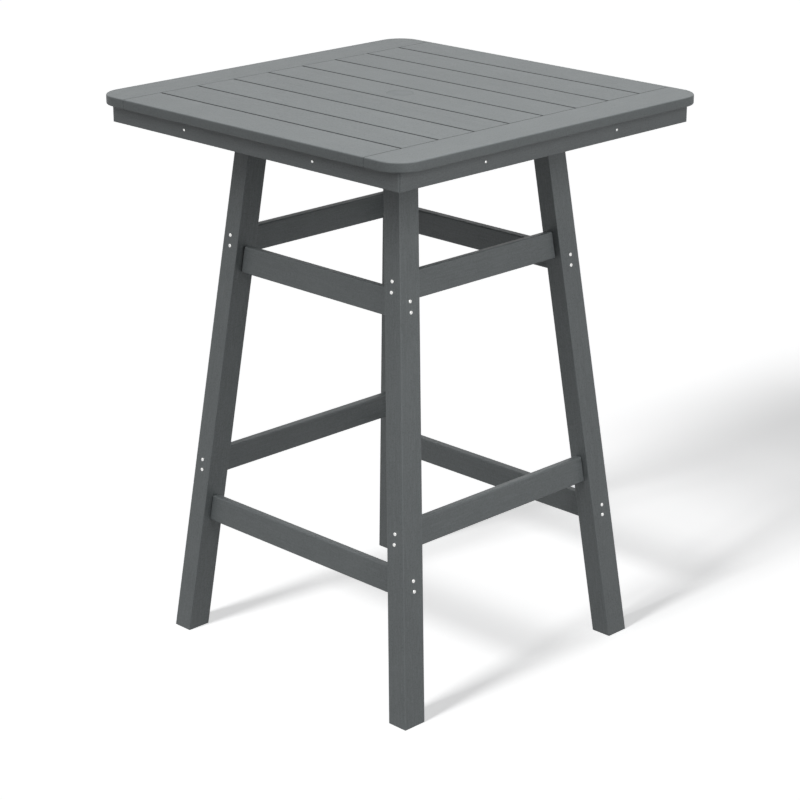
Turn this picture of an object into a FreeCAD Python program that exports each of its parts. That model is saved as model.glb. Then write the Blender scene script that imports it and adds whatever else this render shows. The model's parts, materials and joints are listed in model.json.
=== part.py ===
import FreeCAD, Part
import os
import re

import Sketcher
from FreeCAD import Placement, Rotation, Vector

# Outdoor bar table with a square slatted top on four splayed, tapered legs.
# Origin on the floor under the middle of the top, +Z up, front towards -Y, all sizes in millimetres.
# Each leg leans towards the middle in x and in y. Its faces stay square to the table, so a face that
# looks along x is a flat plane that leans only in x, and the stretchers butt against those planes.

sizes = {
    # The top: end boards at the front and back, slats between them
    "table_height": 1067.0,
    "top_side": 787.0,
    "slab_thickness": 18.0,
    "corner_radius": 50.0,
    "top_edge_radius": 2.5,
    "end_board_width": 82.0,
    "slat_edge_radius": 0.8,
    "slat_gap": 3.6,
    "end_seam": 1.0,
    # The umbrella hole in the middle slat, and its cap
    "pole_bore": 41.0,
    "cap_diameter": 49.0,
    "cap_thickness": 4.0,
    "cap_wall": 1.8,
    "cap_bevel": 0.6,
    "cap_clearance": 0.3,
    # The apron boards around the underside
    "apron_inset": 21.0,
    "apron_height": 34.5,
    "apron_thickness": 18.0,
    "apron_corner_cut": 2.0,
    # The rails under the slats, half-lapped where they cross
    "rail_thickness": 18.0,
    "lap_clearance": 0.2,
    # The legs: middle and size of the section at the floor and at the underside of the slab
    "foot_x": 281.8,
    "foot_y": 300.1,
    "head_x": 183.8,
    "head_y": 185.2,
    "foot_size_x": 49.8,
    "foot_size_y": 42.6,
    "head_size_x": 47.6,
    "head_size_y": 38.6,
    "leg_edge_radius": 3.0,
    # What is left of the leg's head outside the rails, and the play of the notch around them
    "horn_thickness": 29.0,
    "notch_clearance": 0.3,
    # The stretchers: the height of each one's middle, and their section
    "upper_x_height": 787.5,
    "upper_y_height": 756.3,
    "lower_x_height": 344.4,
    "lower_y_height": 256.3,
    "stretcher_height": 51.0,
    "stretcher_thickness": 16.0,
    "stretcher_edge_radius": 3.0,
    # The screws that hold the stretchers: how far each pair stands above the stretcher's middle
    "upper_x_rise": 5.1,
    "upper_y_rise": 0.7,
    "lower_x_rise": 0.7,
    "lower_y_rise": 2.5,
    "screw_spacing": 20.0,
    "screw_shank": 4.0,
    "screw_head": 7.0,
    "screw_head_height": 1.8,
    "screw_length": 80.0,
    "apron_screw_length": 35.0,
    "top_screw_bite": 13.0,
    "hole_clearance": 0.1,
    "hole_run": 1.0,
    # The lag bolts through the rails into the leg heads
    "bolt_shank": 6.0,
    "bolt_head": 11.0,
    "bolt_head_height": 4.0,
    "bolt_length": 42.0,
    "bolt_stagger": 14.0,
}

slat_count = 9
middle_slat = slat_count // 2
# The slats above the rails' crossings, counted from the middle one
crossing_slat = 2
# The screws up into the slats stand to the inner side of the front and back rails, clear of the legs
screw_line_share = 0.3

# Screws and their holes have flat sides, because there are many of them and all but the heads is hidden
shank_sides = 6
head_sides = 10

doc = FreeCAD.newDocument("bar_table")
sheet = doc.addObject("Spreadsheet::Sheet", "Sizes")
for row, (alias, value) in enumerate(sizes.items(), start=1):
    sheet.set(f"A{row}", alias)
    sheet.set(f"B{row}", str(value))
    sheet.setAlias(f"B{row}", alias)
doc.recompute()

parts = []


def sized(formula):
    """The formula with every size name led to its cell."""
    return re.sub(r"[a-z_]+", lambda word: f"Sizes.{word[0]}" if word[0] in sizes else word[0], formula)


# Heights and places that several pieces share, as formulas of the sizes

underside = "(table_height - slab_thickness)"
apron_underside = f"({underside} - apron_height)"
apron_middle = f"({underside} - apron_height / 2)"
apron_outer = "(top_side / 2 - apron_inset)"
apron_inner = f"({apron_outer} - apron_thickness)"
slat_end = "(top_side / 2 - end_board_width - end_seam)"
slat_pitch = f"(top_side / {slat_count})"
cap_recess = "(cap_thickness + cap_clearance)"


def leg_at(axis, height, share):
    """Where the leg is along axis at that height: share 0 is its middle, 0.5 and -0.5 its two faces."""
    foot = f"(foot_{axis} + {share} * foot_size_{axis})"
    head = f"(head_{axis} + {share} * head_size_{axis})"
    return f"({foot} + ({head} - {foot}) * {height} / {underside})"


def lean_of(axis, share):
    """How far that line of the leg leans from upright along axis."""
    foot = f"(foot_{axis} + {share} * foot_size_{axis})"
    head = f"(head_{axis} + {share} * head_size_{axis})"
    return f"atan(({foot} - {head}) / {underside})"


def rail_at(axis, share):
    """Where the rail that lies across axis is: share 0 is its inner face, 1 its outer face."""
    return f"(head_{axis} + head_size_{axis} / 2 - horn_thickness - (1 - {share}) * rail_thickness)"


def slat_screw_place(number):
    """Where the screw through the front rail into that slat stands, in x and y."""
    steps = abs(number - middle_slat)
    across = f"{steps} * {slat_pitch}"
    if steps == crossing_slat:
        across = rail_at("x", 0.5)
    if steps == middle_slat:
        inner_edge = f"({steps} * {slat_pitch} - {slat_pitch} / 2 + slat_gap / 2)"
        across = f"({inner_edge} + {apron_outer} - apron_screw_length) / 2"
    sign = "-" if number < middle_slat else ""
    return f"{sign}({across})", f"-{rail_at('y', screw_line_share)}"


slat_screw_places = [slat_screw_place(number) for number in range(slat_count)]
end_screw_y = f"(({slat_end} + end_seam + {apron_outer} - apron_screw_length) / 2)"
end_screw_places = [(f"{sign}{rail_at('x', 0.5)}", f"-{end_screw_y}") for sign in ("-", "")]


def behind(places):
    """The same places on the other side of the table, across y."""
    return [(across, f"-({up})") for across, up in places]


# A sketch across x shows y and z, and one across y shows x and z. The modelled leg stands at the front
# right, at +x and -y, so it lies to the left in a sketch across x and to the right in one across y.

plane_across = {"x": "YZ_Plane", "y": "XZ_Plane"}
leg_side = {"x": "-1", "y": "1"}
other = {"x": "y", "y": "x"}
sketch_right = Vector(1, 0, 0)
sketch_normal = Vector(0, 0, 1)


def keep(piece, name):
    """Names a finished sub-part and puts it on the list of those that are written."""
    piece.Label = name
    parts.append(piece)
    return piece


def new_body(name):
    return doc.addObject("PartDesign::Body", name)


def new_sketch(body, plane, base=("0", "0", "0"), turn="0", turn_axis=sketch_normal):
    """A sketch on one of the body's origin planes, moved by base and turned about turn_axis."""
    sketch = body.newObject("Sketcher::SketchObject", "sketch")
    sketch.AttachmentSupport = [next(f for f in body.Origin.OriginFeatures if f.Role == plane)]
    sketch.MapMode = "FlatFace"
    sketch.AttachmentOffset = Placement(Vector(), Rotation(turn_axis, 1))
    for name, formula in zip("xyz", base):
        sketch.setExpression(f"AttachmentOffset.Base.{name}", sized(formula))
    sketch.setExpression("AttachmentOffset.Rotation.Angle", sized(turn))
    return sketch


def bind(sketch, bound):
    """Adds constraints, each given with the formula that its value follows."""
    numbers = sketch.addConstraint([constraint for constraint, formula in bound])
    for number, (constraint, formula) in zip(numbers, bound):
        name = f"size_{number}"
        sketch.renameConstraint(number, name)
        sketch.setExpression(f"Constraints.{name}", sized(formula))


def held(geometry, point, across, up):
    """The constraints that hold a point at two distances from the sketch's origin."""
    return [
        (Sketcher.Constraint("DistanceX", -1, 1, geometry, point, 1.0), across),
        (Sketcher.Constraint("DistanceY", -1, 1, geometry, point, 1.0), up),
    ]


def polygon(sketch, corners):
    """Straight lines round the corners, each corner given as two formulas."""
    first = sketch.GeometryCount
    count = len(corners)
    seeds = [Rotation(sketch_normal, 360 * k / count).multVec(sketch_right) for k in range(count)]
    sketch.addGeometry([Part.LineSegment(seeds[k], seeds[(k + 1) % count]) for k in range(count)])
    sketch.addConstraint([
        Sketcher.Constraint("Coincident", first + k, 2, first + (k + 1) % count, 1) for k in range(count)
    ])
    bind(sketch, sum((held(first + k, 1, *corner) for k, corner in enumerate(corners)), []))


def rectangle(sketch, left, right, low, high):
    polygon(sketch, [(left, low), (right, low), (right, high), (left, high)])


def circle(sketch, across, up, diameter):
    number = sketch.addGeometry(Part.Circle(Vector(), sketch_normal, 1))
    bind(sketch, held(number, 3, across, up) + [(Sketcher.Constraint("Diameter", number, 1.0), diameter)])


def ring(sketch, across, up, diameter, sides):
    """A regular polygon with its corners on a circle."""
    angles = [360 * k / sides for k in range(sides)]
    polygon(sketch, [
        (f"{across} + ({diameter}) / 2 * cos({angle})", f"{up} + ({diameter}) / 2 * sin({angle})")
        for angle in angles
    ])


def pad(body, sketch, length, side="One side", reverse=False):
    feature = body.newObject("PartDesign::Pad", "pad")
    feature.Profile = sketch
    feature.SideType = side
    feature.Reversed = reverse
    feature.setExpression("Length", sized(length))
    doc.recompute()
    return feature


def pocket(body, sketch, length=None, side="One side", reverse=False):
    """Cuts to a length, or through everything if none is given."""
    feature = body.newObject("PartDesign::Pocket", "pocket")
    feature.Profile = sketch
    feature.SideType = side
    feature.Reversed = reverse
    if length is None:
        feature.Type = "ThroughAll"
    else:
        feature.setExpression("Length", sized(length))
    doc.recompute()
    return feature


def fillet(body, edges, radius):
    """Rounds the edges of the body's last feature that the test picks."""
    base = body.Tip
    names = [f"Edge{k}" for k, edge in enumerate(base.Shape.Edges, start=1) if edges(edge, base.Shape)]
    feature = body.newObject("PartDesign::Fillet", "fillet")
    feature.Base = (base, names)
    feature.setExpression("Radius", sized(radius))
    doc.recompute()
    return feature


def mirror_within(body, feature, plane):
    """Repeats a feature of the body on the other side of one of its origin planes."""
    mirrored = body.newObject("PartDesign::Mirrored", "mirrored")
    mirrored.Originals = [feature]
    mirrored.MirrorPlane = (next(f for f in body.Origin.OriginFeatures if f.Role == plane), [""])
    body.Tip = mirrored
    doc.recompute()


def long_edge(edge, shape):
    return edge.Length > shape.BoundBox.DiagonalLength / 2


def top_edge(edge, shape):
    return edge.BoundBox.ZMin > shape.BoundBox.Center.z and edge.BoundBox.ZLength < edge.Length / 2


def top_long_edge(edge, shape):
    return top_edge(edge, shape) and long_edge(edge, shape)


def mirrored_copy(source, axis, name):
    """The same piece on the other side of the table: axis is the way it moves across."""
    copy = doc.addObject("Part::Mirroring", name)
    copy.Source = source
    copy.Normal = {"x": Vector(1, 0, 0), "y": Vector(0, 1, 0)}[axis]
    return copy


def at_four_corners(source, name):
    """One node with the fasteners of the front right leg and their mirror images at the other three."""
    across = mirrored_copy(source, "x", "across")
    group = doc.addObject("Part::Compound", name)
    group.Links = [source, across, mirrored_copy(source, "y", "behind"), mirrored_copy(across, "y", "behind")]
    return keep(group, name)


def screw_sketch(body, axis, row, diameter, sides=shank_sides):
    """Two rings on the leg's outer face across axis, for the screws into one stretcher's end."""
    level = f"({row}_{axis}_height + {row}_{axis}_rise)"
    place = f"{leg_side[axis]} * {leg_at(other[axis], level, 0)}"
    base = (place, level, leg_at(axis, level, 0.5))
    sketch = new_sketch(body, plane_across[axis], base, f"-{lean_of(axis, 0.5)}", sketch_right)
    for sign in ("-", ""):
        ring(sketch, "0", f"{sign}screw_spacing / 2", diameter, sides)
    return sketch


def apron_screw_sketch(body, axis, diameter, sides=shank_sides):
    """A ring on the apron's outer face across axis, where the end of a rail is."""
    sketch = new_sketch(body, plane_across[axis], ("0", "0", apron_outer))
    middle = rail_at(other[axis], 0.5)
    ring(sketch, f"{leg_side[axis]} * {middle}", apron_middle, diameter, sides)
    return sketch


def bolt_sketch(body, axis, diameter):
    """A ring on the rail's inner face across axis, where a bolt goes out into the leg's horn."""
    sketch = new_sketch(body, plane_across[axis], ("0", "0", rail_at(axis, 0)))
    across = f"{leg_side[axis]} * ({rail_at(other[axis], 1)} + horn_thickness / 2)"
    sign = {"x": "-", "y": "+"}[axis]
    ring(sketch, across, f"({apron_middle} {sign} bolt_stagger / 2)", diameter, shank_sides)
    return sketch


def upright_sketch(body, level, places, diameter, sides=shank_sides):
    """Rings on a level plane, for the screws up into the top."""
    sketch = new_sketch(body, "XY_Plane", ("0", "0", level))
    for across, up in places:
        ring(sketch, across, up, diameter, sides)
    return sketch


def drill_upwards(body, level, places, depth=None):
    """Upright holes from a level, for the screws into the top: through the body if no depth is given."""
    holes = upright_sketch(body, level, places, "screw_shank + 2 * hole_clearance")
    pocket(body, holes, depth, reverse=True)


# The top

def make_slat(number):
    body = new_body("slat")
    left = f"({number} * {slat_pitch} - top_side / 2"
    left += ")" if number == 0 else " + slat_gap / 2)"
    right = f"({number + 1} * {slat_pitch} - top_side / 2"
    right += ")" if number == slat_count - 1 else " - slat_gap / 2)"
    outline = new_sketch(body, "XY_Plane", ("0", "0", underside))
    rectangle(outline, left, right, f"-{slat_end}", slat_end)
    pad(body, outline, "slab_thickness")

    def table_edge(edge, shape):
        side = edge.BoundBox.Center.x - shape.BoundBox.Center.x
        outermost = (number == 0 and side < 0) or (number == slat_count - 1 and side > 0)
        return outermost and top_long_edge(edge, shape)

    def gap_edge(edge, shape):
        return top_long_edge(edge, shape) and not table_edge(edge, shape)

    fillet(body, gap_edge, "slat_edge_radius")
    if number in (0, slat_count - 1):
        fillet(body, table_edge, "top_edge_radius")
    if number == middle_slat:
        bore = new_sketch(body, "XY_Plane", ("0", "0", "table_height"))
        circle(bore, "0", "0", "pole_bore")
        pocket(body, bore)
        recess = new_sketch(body, "XY_Plane", ("0", "0", "table_height"))
        circle(recess, "0", "0", "cap_diameter + 2 * cap_clearance")
        pocket(body, recess, cap_recess)
    ends = [slat_screw_places[number]]
    drill_upwards(body, underside, ends + behind(ends), "top_screw_bite + hole_run")
    return keep(body, f"slat_{number + 1}")


def make_end_board():
    """The front board, across the ends of all the slats."""
    body = new_body("end_board")
    outline = new_sketch(body, "XY_Plane", ("0", "0", underside))
    rectangle(outline, "-top_side / 2", "top_side / 2", "-top_side / 2", "end_board_width - top_side / 2")
    pad(body, outline, "slab_thickness")

    def outer_corner(edge, shape):
        upright = edge.BoundBox.ZLength > edge.Length / 2
        return upright and edge.BoundBox.Center.y < shape.BoundBox.Center.y

    def open_top_edge(edge, shape):
        crosswise = edge.BoundBox.YLength < edge.Length / 2
        beside_slats = crosswise and edge.BoundBox.Center.y > shape.BoundBox.Center.y
        return top_edge(edge, shape) and not beside_slats

    fillet(body, outer_corner, "corner_radius")
    fillet(body, open_top_edge, "top_edge_radius")
    drill_upwards(body, underside, end_screw_places, "top_screw_bite + hole_run")
    return keep(body, "end_board_front")


def make_cap():
    """The umbrella hole's cap: a disc with a hollow underside, flush with the slats."""
    body = new_body("cap")
    profile = new_sketch(body, "XZ_Plane")
    bottom = "(table_height - cap_thickness)"
    polygon(profile, [
        ("0", f"{bottom} + cap_thickness - cap_wall"),
        ("cap_diameter / 2 - cap_wall", f"{bottom} + cap_thickness - cap_wall"),
        ("cap_diameter / 2 - cap_wall", bottom),
        ("cap_diameter / 2", bottom),
        ("cap_diameter / 2", "table_height - cap_bevel"),
        ("cap_diameter / 2 - cap_bevel", "table_height"),
        ("0", "table_height"),
    ])
    disc = body.newObject("PartDesign::Revolution", "disc")
    disc.Profile = profile
    disc.ReferenceAxis = (profile, ["V_Axis"])
    disc.Angle = 360
    doc.recompute()
    return keep(body, "umbrella_cap")


# The apron and the rails

def make_apron(axis, name):
    """The board whose outer face looks along axis, mitred at both ends, the mitre's tip cut flat."""
    body = new_body("apron")
    outline = new_sketch(body, "XY_Plane", ("0", "0", apron_underside))
    tip = f"({apron_outer} - apron_corner_cut / 2)"
    half = [(apron_outer, f"({apron_outer} - apron_corner_cut)"), (tip, tip), (apron_inner, apron_inner)]
    corners = half + [(out, f"-{along}") for out, along in reversed(half)]
    if axis == "y":
        corners = [(along, f"-{out}") for out, along in corners]
    polygon(outline, corners)
    pad(body, outline, "apron_height")
    hole = apron_screw_sketch(body, axis, "screw_shank + 2 * hole_clearance")
    drilled = pocket(body, hole, "apron_thickness + hole_run")
    mirror_within(body, drilled, plane_across[other[axis]])
    return keep(body, name)


def make_rail(axis, name):
    """The rail that lies across axis and runs along the other one, from apron to apron."""
    body = new_body("rail")
    along = other[axis]
    inner = f"{leg_side[along]} * {rail_at(axis, 0)}"
    outer = f"{leg_side[along]} * {rail_at(axis, 1)}"
    section = new_sketch(body, plane_across[along])
    rectangle(section, inner, outer, apron_underside, underside)
    pad(body, section, f"2 * {apron_inner}", side="Symmetric")
    # The rails along x keep their upper half at the crossing, the rails along y their lower half
    lap = new_sketch(body, plane_across[axis])
    low, high = rail_at(along, 0), rail_at(along, 1)
    edges = [f"{leg_side[axis]} * ({low} - lap_clearance)", f"{leg_side[axis]} * ({high} + lap_clearance)"]
    if along == "x":
        rectangle(lap, *edges, f"{apron_underside} - lap_clearance", apron_middle)
    else:
        rectangle(lap, *edges, apron_middle, f"{underside} + lap_clearance")
    crossing = pocket(body, lap, side="Symmetric")
    mirror_within(body, crossing, plane_across[along])
    pilot = apron_screw_sketch(body, along, "screw_shank + 2 * hole_clearance")
    end_hole = pocket(body, pilot, "apron_screw_length + hole_run")
    mirror_within(body, end_hole, plane_across[along])
    bolt = bolt_sketch(body, axis, "bolt_shank + 2 * hole_clearance")
    bolt_hole = pocket(body, bolt, "rail_thickness + hole_run", reverse=True)
    mirror_within(body, bolt_hole, plane_across[along])
    places = slat_screw_places
    if along == "y":
        front_places = [slat_screw_places[middle_slat + crossing_slat], end_screw_places[1]]
        places = front_places + behind(front_places)
    drill_upwards(body, apron_underside, places)
    return keep(body, name)


# The legs and the stretchers

def make_leg():
    """The front right leg: a taper from foot to head, notched around the crossing of two rails."""
    body = new_body("leg")
    beyond_x = "(foot_x + foot_size_x)"
    beyond_y = "-(foot_y + foot_size_y)"
    side = new_sketch(body, "XZ_Plane")
    polygon(side, [
        (leg_at("x", "0", -0.5), "0"), (leg_at("x", "0", 0.5), "0"),
        (leg_at("x", underside, 0.5), underside), (leg_at("x", underside, -0.5), underside),
    ])
    pad(body, side, "foot_y + foot_size_y")
    waste = new_sketch(body, "YZ_Plane")
    for share, limit in ((0.5, beyond_y), (-0.5, "0")):
        polygon(waste, [
            (f"-{leg_at('y', '0', share)}", "0"), (limit, "0"),
            (limit, underside), (f"-{leg_at('y', underside, share)}", underside),
        ])
    pocket(body, waste, side="Symmetric")
    fillet(body, long_edge, "leg_edge_radius")

    notch = new_sketch(body, "XY_Plane", ("0", "0", underside))
    step_x = f"({rail_at('x', 1)} + notch_clearance)"
    step_y = f"-({rail_at('y', 1)} + notch_clearance)"
    polygon(notch, [
        ("0", "0"), (beyond_x, "0"), (beyond_x, step_y),
        (step_x, step_y), (step_x, beyond_y), ("0", beyond_y),
    ])
    pocket(body, notch, "apron_height")

    for axis in "xy":
        for row in ("upper", "lower"):
            pocket(body, screw_sketch(body, axis, row, "screw_shank + 2 * hole_clearance"), "screw_length")
        bolt = bolt_sketch(body, axis, "bolt_shank + 2 * hole_clearance")
        pocket(body, bolt, "bolt_length + hole_run", reverse=True)
    return keep(body, "leg_front_right")


def make_stretcher(axis, row, name):
    """The stretcher that runs along axis, tilted with the legs, its ends cut to the legs' inner faces."""
    body = new_body("stretcher")
    level = f"{row}_{axis}_height"
    place = f"{leg_side[axis]} * {leg_at(other[axis], level, 0)}"
    tilt = f"{leg_side[axis]} * {lean_of(other[axis], 0)}"
    section = new_sketch(body, plane_across[axis], (place, level, "0"), tilt)
    half_width, half_height = "stretcher_thickness / 2", "stretcher_height / 2"
    rectangle(section, f"-{half_width}", half_width, f"-{half_height}", half_height)
    pad(body, section, f"2 * foot_{axis}", side="Symmetric")
    fillet(body, long_edge, "stretcher_edge_radius")

    ends = new_sketch(body, plane_across[other[axis]])
    low, high = f"({level} - stretcher_height)", f"({level} + stretcher_height)"
    for sign in ("", "-"):
        polygon(ends, [
            (f"{sign}{leg_at(axis, low, -0.5)}", low), (f"{sign}2 * foot_{axis}", low),
            (f"{sign}2 * foot_{axis}", high), (f"{sign}{leg_at(axis, high, -0.5)}", high),
        ])
    pocket(body, ends, side="Symmetric")
    pilot = screw_sketch(body, axis, row, "screw_shank + 2 * hole_clearance")
    drilled = pocket(body, pilot, "screw_length + hole_run")
    mirror_within(body, drilled, plane_across[axis])
    return keep(body, name)


# The fasteners

def make_stretcher_screws(axis, row):
    """Two screws square to the leg's outer face, at each end of one row's stretchers along axis."""
    body = new_body("screws")
    pad(body, screw_sketch(body, axis, row, "screw_shank"), "screw_length", reverse=True)
    pad(body, screw_sketch(body, axis, row, "screw_head", head_sides), "screw_head_height")
    return at_four_corners(body, f"{row}_screws_along_{axis}")


def make_apron_screws(axis):
    body = new_body("screw")
    pad(body, apron_screw_sketch(body, axis, "screw_shank"), "apron_screw_length", reverse=True)
    pad(body, apron_screw_sketch(body, axis, "screw_head", head_sides), "screw_head_height")
    return at_four_corners(body, f"apron_screws_along_{axis}")


def make_top_screws(places, name):
    """Upright screws through the rails into the top, with their mirror images at the back."""
    body = new_body("screws")
    shanks = upright_sketch(body, apron_underside, places, "screw_shank")
    pad(body, shanks, "apron_height + top_screw_bite")
    heads = upright_sketch(body, apron_underside, places, "screw_head", head_sides)
    pad(body, heads, "screw_head_height", reverse=True)
    group = doc.addObject("Part::Compound", name)
    group.Links = [body, mirrored_copy(body, "y", "behind")]
    return keep(group, name)


def make_bolts(axis):
    """A hexagon head on the rail's inner face and a shank into the leg's horn."""
    body = new_body("bolt")
    pad(body, bolt_sketch(body, axis, "bolt_shank"), "bolt_length")
    pad(body, bolt_sketch(body, axis, "bolt_head"), "bolt_head_height", reverse=True)
    return at_four_corners(body, f"leg_bolts_along_{axis}")


for number in range(slat_count):
    make_slat(number)
front_board = make_end_board()
keep(mirrored_copy(front_board, "y", "end_board"), "end_board_back")
make_cap()

for maker, stem in ((make_apron, "apron"), (make_rail, "rail")):
    front = maker("y", f"{stem}_front")
    keep(mirrored_copy(front, "y", stem), f"{stem}_back")
    right = maker("x", f"{stem}_right")
    keep(mirrored_copy(right, "x", stem), f"{stem}_left")

front_right = make_leg()
front_left = keep(mirrored_copy(front_right, "x", "leg"), "leg_front_left")
keep(mirrored_copy(front_right, "y", "leg"), "leg_back_right")
keep(mirrored_copy(front_left, "y", "leg"), "leg_back_left")

for row in ("upper", "lower"):
    front = make_stretcher("x", row, f"{row}_stretcher_front")
    keep(mirrored_copy(front, "y", "stretcher"), f"{row}_stretcher_back")
    right = make_stretcher("y", row, f"{row}_stretcher_right")
    keep(mirrored_copy(right, "x", "stretcher"), f"{row}_stretcher_left")

for axis in "xy":
    for row in ("upper", "lower"):
        make_stretcher_screws(axis, row)
    make_apron_screws(axis)
    make_bolts(axis)
make_top_screws(slat_screw_places, "slat_screws")
make_top_screws(end_screw_places, "end_board_screws")

doc.recompute()
for item in doc.Objects:
    if {"Invalid", "Error"} & set(item.State):
        raise RuntimeError(f"{item.Label} failed: {item.State}")
for piece in parts:
    if piece.Shape.isNull() or not piece.Shape.isValid():
        raise RuntimeError(f"{piece.Label} has no valid shape")

os.makedirs("parts", exist_ok=True)
for piece in parts:
    piece.Shape.exportStep(f"parts/{piece.Label}.step")
    print(piece.Label, len(piece.Shape.Solids), round(piece.Shape.Volume))
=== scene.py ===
import json
import math
import random

import bpy
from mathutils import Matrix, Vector


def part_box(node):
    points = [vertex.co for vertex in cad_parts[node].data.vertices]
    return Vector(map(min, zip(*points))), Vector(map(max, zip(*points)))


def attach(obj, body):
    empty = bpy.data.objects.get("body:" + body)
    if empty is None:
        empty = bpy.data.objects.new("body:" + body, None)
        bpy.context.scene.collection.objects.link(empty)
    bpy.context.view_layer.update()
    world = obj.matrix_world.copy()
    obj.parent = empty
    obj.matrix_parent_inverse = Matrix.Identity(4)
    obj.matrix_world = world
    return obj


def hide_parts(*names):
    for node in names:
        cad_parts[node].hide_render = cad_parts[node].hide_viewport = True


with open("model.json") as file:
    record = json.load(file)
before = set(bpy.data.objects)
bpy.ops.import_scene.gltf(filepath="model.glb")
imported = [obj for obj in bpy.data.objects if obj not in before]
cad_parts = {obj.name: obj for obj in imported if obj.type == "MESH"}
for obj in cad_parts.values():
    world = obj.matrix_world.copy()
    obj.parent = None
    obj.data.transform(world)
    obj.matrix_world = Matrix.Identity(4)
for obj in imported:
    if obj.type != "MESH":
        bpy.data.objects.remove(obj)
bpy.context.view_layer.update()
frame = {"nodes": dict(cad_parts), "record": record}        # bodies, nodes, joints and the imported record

# Outdoor bar table: a square slatted top on four splayed, tapered legs, all of it grey lumber
# extruded from recycled polyethylene and put together with screws and bolts. Metres, +Z up, front at -Y.

mm = 0.001
near = 0.01 * mm                  # points closer than this count as one place
overrun = 5 * mm                  # how far a cutter reaches past what it cuts
alike = 0.99                      # directions whose dot product is above this count as one
sharpAngle = math.radians(40)     # an edge that turns more than this is eased
easingSteps = 2
axes = {"x": Vector((1, 0, 0)), "y": Vector((0, 1, 0)), "z": Vector((0, 0, 1))}
print("frame loaded with", len(frame["nodes"]), "nodes")


# Small helpers for modelling

def pieceName(node):
    # upper_screws_along_x becomes upperScrewsAlongX
    first, *others = node.split("_")
    return first + "".join(word.title() for word in others)


def clearSelection():
    if bpy.context.object and bpy.context.object.mode != "OBJECT":
        bpy.ops.object.mode_set(mode="OBJECT")
    bpy.ops.object.select_all(action="DESELECT")


def takeUp(piece):
    clearSelection()
    piece.select_set(True)
    bpy.context.view_layer.objects.active = piece


def addBlock(name, low, high, turn=(0, 0, 0)):
    # a cube at its size and place, turned about its own middle
    clearSelection()
    low, high = Vector(low), Vector(high)
    bpy.ops.mesh.primitive_cube_add(size=1, location=(low + high) / 2, scale=high - low, rotation=turn)
    bpy.ops.object.transform_apply(location=True, rotation=True, scale=True)
    bpy.context.object.name = name
    return bpy.context.object


def addRound(name, radius, low, high, sides):
    # an upright cylinder around the z axis, from one height to another
    clearSelection()
    middle = (0, 0, (low + high) / 2)
    bpy.ops.mesh.primitive_cylinder_add(vertices=sides, radius=radius, depth=high - low, location=middle)
    bpy.ops.object.transform_apply(location=True, rotation=True, scale=True)
    bpy.context.object.name = name
    return bpy.context.object


def pickEdges(piece, test):
    # selects the edges whose two ends pass the test, and stays in edit mode
    takeUp(piece)
    bpy.ops.object.mode_set(mode="EDIT")
    bpy.ops.mesh.select_mode(type="EDGE")
    bpy.ops.mesh.select_all(action="DESELECT")
    bpy.ops.object.mode_set(mode="OBJECT")
    points = piece.data.vertices
    for edge in piece.data.edges:
        start, end = (points[k].co for k in edge.vertices)
        edge.select = bool(test(start, end))
    bpy.ops.object.mode_set(mode="EDIT")


def pickFaces(piece, test):
    # selects the faces whose middle and normal pass the test, and stays in edit mode
    takeUp(piece)
    bpy.ops.object.mode_set(mode="EDIT")
    bpy.ops.mesh.select_mode(type="FACE")
    bpy.ops.mesh.select_all(action="DESELECT")
    bpy.ops.object.mode_set(mode="OBJECT")
    for face in piece.data.polygons:
        face.select = bool(test(face.center, face.normal))
    bpy.ops.object.mode_set(mode="EDIT")


def roundEdges(piece, radius, steps, test):
    pickEdges(piece, test)
    bpy.ops.mesh.bevel(offset=radius, segments=steps, affect="EDGES")
    bpy.ops.object.mode_set(mode="OBJECT")


def applyModifier(piece, kind, **settings):
    takeUp(piece)
    modifier = piece.modifiers.new(kind.lower(), kind)
    for key, value in settings.items():
        setattr(modifier, key, value)
    bpy.ops.object.modifier_apply(modifier=modifier.name)


def easeSharpEdges(piece, width):
    # the saw and the router leave no knife edge: every edge that is still sharp gets a small round
    applyModifier(piece, "BEVEL", width=width, segments=easingSteps, limit_method="ANGLE",
                  angle_limit=sharpAngle, use_clamp_overlap=True)


def cutAway(piece, cutter):
    applyModifier(piece, "BOOLEAN", operation="DIFFERENCE", solver="EXACT", object=cutter)
    bpy.data.objects.remove(cutter)


def sawOff(piece, point, normal):
    # cuts the piece at a plane and leaves out what lies on the normal's side
    takeUp(piece)
    bpy.ops.object.mode_set(mode="EDIT")
    bpy.ops.mesh.select_all(action="SELECT")
    bpy.ops.mesh.bisect(plane_co=point, plane_no=normal, use_fill=True, clear_outer=True)
    bpy.ops.object.mode_set(mode="OBJECT")


def parallel(start, end, axis):
    return abs((end - start).normalized().dot(axis)) > alike


# Colours and nodes

def linearFrom(hexColour):
    channels = [int(hexColour[k:k + 2], 16) / 255 for k in (1, 3, 5)]
    return [c / 12.92 if c < 0.04 else ((c + 0.055) / 1.055) ** 2.4 for c in channels] + [1]


def addNode(tree, kind, settings=None, links=None):
    # settings go to the node's inputs by name or number, else to its properties
    node = tree.nodes.new("ShaderNode" + kind)
    for key, value in (settings or {}).items():
        if not isinstance(key, int) and hasattr(node, key):
            setattr(node, key, value)
        else:
            node.inputs[key].default_value = value
    for key, source in (links or {}).items():
        tree.links.new(source, node.inputs[key])
    return node


def mapRange(tree, value, source, target=(0, 1)):
    # a value that runs over the source's span comes out as one that runs over the target's
    ends = {"From Min": source[0], "From Max": source[1], "To Min": target[0], "To Max": target[1]}
    return addNode(tree, "MapRange", ends, {"Value": value}).outputs["Result"]


def addNoise(tree, place, size, detail):
    # spots of about this size in mm, fixed to the piece
    noise = addNode(tree, "TexNoise", {"Scale": 1 / (size * mm), "Detail": detail},
                    {"Vector": place.outputs["Object"]})
    return noise.outputs["Fac"]


firstColour, secondColour, mixedColour = 6, 7, 2      # the sockets for colours on a Mix node


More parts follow.
